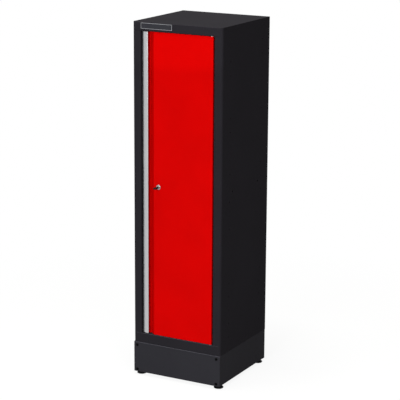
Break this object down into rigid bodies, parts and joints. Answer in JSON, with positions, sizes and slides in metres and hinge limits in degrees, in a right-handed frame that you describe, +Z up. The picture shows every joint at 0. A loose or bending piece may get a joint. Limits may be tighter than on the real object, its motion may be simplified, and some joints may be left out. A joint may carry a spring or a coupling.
{
  "type": "workshop side locker",
  "caption": "Tall folded-steel workshop locker with an inset hinged door, full-height finger grip, rod lock, shelves and a screwed plinth on levelling feet.",
  "frame": {"origin": "on the floor, midway between the sides and midway between the front frame and the back edge", "axes": "+Z up, +X to the right seen from the front, the door faces -Y"},
  "size_m": [0.5, 0.5482, 1.83],
  "materials": {
    "charcoal_paint": "semi-gloss powder coat",
    "plinth_paint": "semi-gloss powder coat",
    "grey_paint": "semi-gloss powder coat",
    "red_paint": "gloss powder coat",
    "silver_profile": "satin anodised",
    "badge_blank": "satin",
    "badge_edge": "bright satin",
    "zinc": "zinc plated",
    "black_oxide": "black oxide",
    "chrome_lock": "polished",
    "brass_plug": "satin",
    "nylon_black": "moulded",
    "acetal_white": "moulded",
    "rubber": "matt",
    "key_head": "moulded"
  },
  "bodies": {
    "cabinet": {"side_panel_left": "charcoal_paint", "side_panel_right": "charcoal_paint", "top_panel": "charcoal_paint", "bottom_panel": "charcoal_paint", "back_panel": "charcoal_paint", "plinth_front": "plinth_paint", "plinth_back": "plinth_paint", "plinth_side_left": "plinth_paint", "plinth_side_right": "plinth_paint", "plinth_post_front_left": "plinth_paint", "plinth_post_front_right": "plinth_paint", "plinth_post_back_left": "plinth_paint", "plinth_post_back_right": "plinth_paint", "shelf_1": "grey_paint", "shelf_2": "grey_paint", "shelf_3": "grey_paint", "shelf_4": "grey_paint", "badge_plate": "badge_blank", "badge_rim": "badge_edge", "back_rivets": "zinc", "joining_bolts": "zinc", "foot_nuts": "zinc", "lower_pivot_pin": "zinc", "upper_pivot_pin": "zinc", "pivot_washers": "zinc", "plinth_screws": "black_oxide", "shelf_pegs": "black_oxide", "rod_keepers": "nylon_black", "door_bumpers": "rubber"},
    "door": {"door_panel": "red_paint", "door_stiffener": "red_paint", "grip_profile": "silver_profile", "grip_caps": "nylon_black", "grip_rivets": "zinc", "lower_pivot_bush": "acetal_white", "upper_pivot_bush": "acetal_white", "pivot_plates": "red_paint", "lower_rod_guide": "nylon_black", "upper_rod_guide": "nylon_black", "lock_barrel": "chrome_lock", "lock_nut": "zinc", "lock_case": "zinc", "lock_case_cover": "zinc", "lock_case_screws": "zinc"},
    "lock": {"lock_plug": "brass_plug", "lock_pinion": "zinc"},
    "key": {"key_blade": "brass_plug", "key_bow": "key_head"},
    "upper_rod": {"upper_rod": "zinc"},
    "lower_rod": {"lower_rod": "zinc"},
    "foot_front_left": {"foot_pad_front_left": "nylon_black", "foot_stud_front_left": "zinc"},
    "foot_front_right": {"foot_pad_front_right": "nylon_black", "foot_stud_front_right": "zinc"},
    "foot_back_left": {"foot_pad_back_left": "nylon_black", "foot_stud_back_left": "zinc"},
    "foot_back_right": {"foot_pad_back_right": "nylon_black", "foot_stud_back_right": "zinc"}
  },
  "joints": [
    {"name": "door_swing", "type": "hinge", "parent": "cabinet", "child": "door", "pos_m": [0.1885, -0.2425, 1.008], "axis": [0, 0, 1], "range_deg": [0, 110]},
    {"name": "upper_rod_slide", "type": "slide", "parent": "door", "child": "upper_rod", "axis": [0, 0, 1], "range_m": [0, 0.01256]},
    {"name": "lock_turn", "type": "hinge", "parent": "door", "child": "lock", "pos_m": [-0.107, -0.2515, 1.008], "axis": [0, 1, 0], "range_deg": [0, 90]},
    {"name": "lower_rod_slide", "type": "slide", "parent": "door", "child": "lower_rod", "axis": [0, 0, -1], "range_m": [0, 0.0127]},
    {"name": "key_withdraw", "type": "slide", "parent": "lock", "child": "key", "axis": [0, -1, 0], "range_m": [0, 0.03]},
    {"name": "foot_front_left_adjust", "type": "slide", "parent": "cabinet", "child": "foot_front_left", "axis": [0, 0, -1], "range_m": [0, 0.02]},
    {"name": "foot_front_right_adjust", "type": "slide", "parent": "cabinet", "child": "foot_front_right", "axis": [0, 0, -1], "range_m": [0, 0.02]},
    {"name": "foot_back_left_adjust", "type": "slide", "parent": "cabinet", "child": "foot_back_left", "axis": [0, 0, -1], "range_m": [0, 0.02]},
    {"name": "foot_back_right_adjust", "type": "slide", "parent": "cabinet", "child": "foot_back_right", "axis": [0, 0, -1], "range_m": [0, 0.02]}
  ],
  "couplings": [
    {"joint": "lock_turn", "follows": "upper_rod_slide", "rad_per_m": 125},
    {"joint": "lower_rod_slide", "follows": "upper_rod_slide", "ratio": 1}
  ]
}
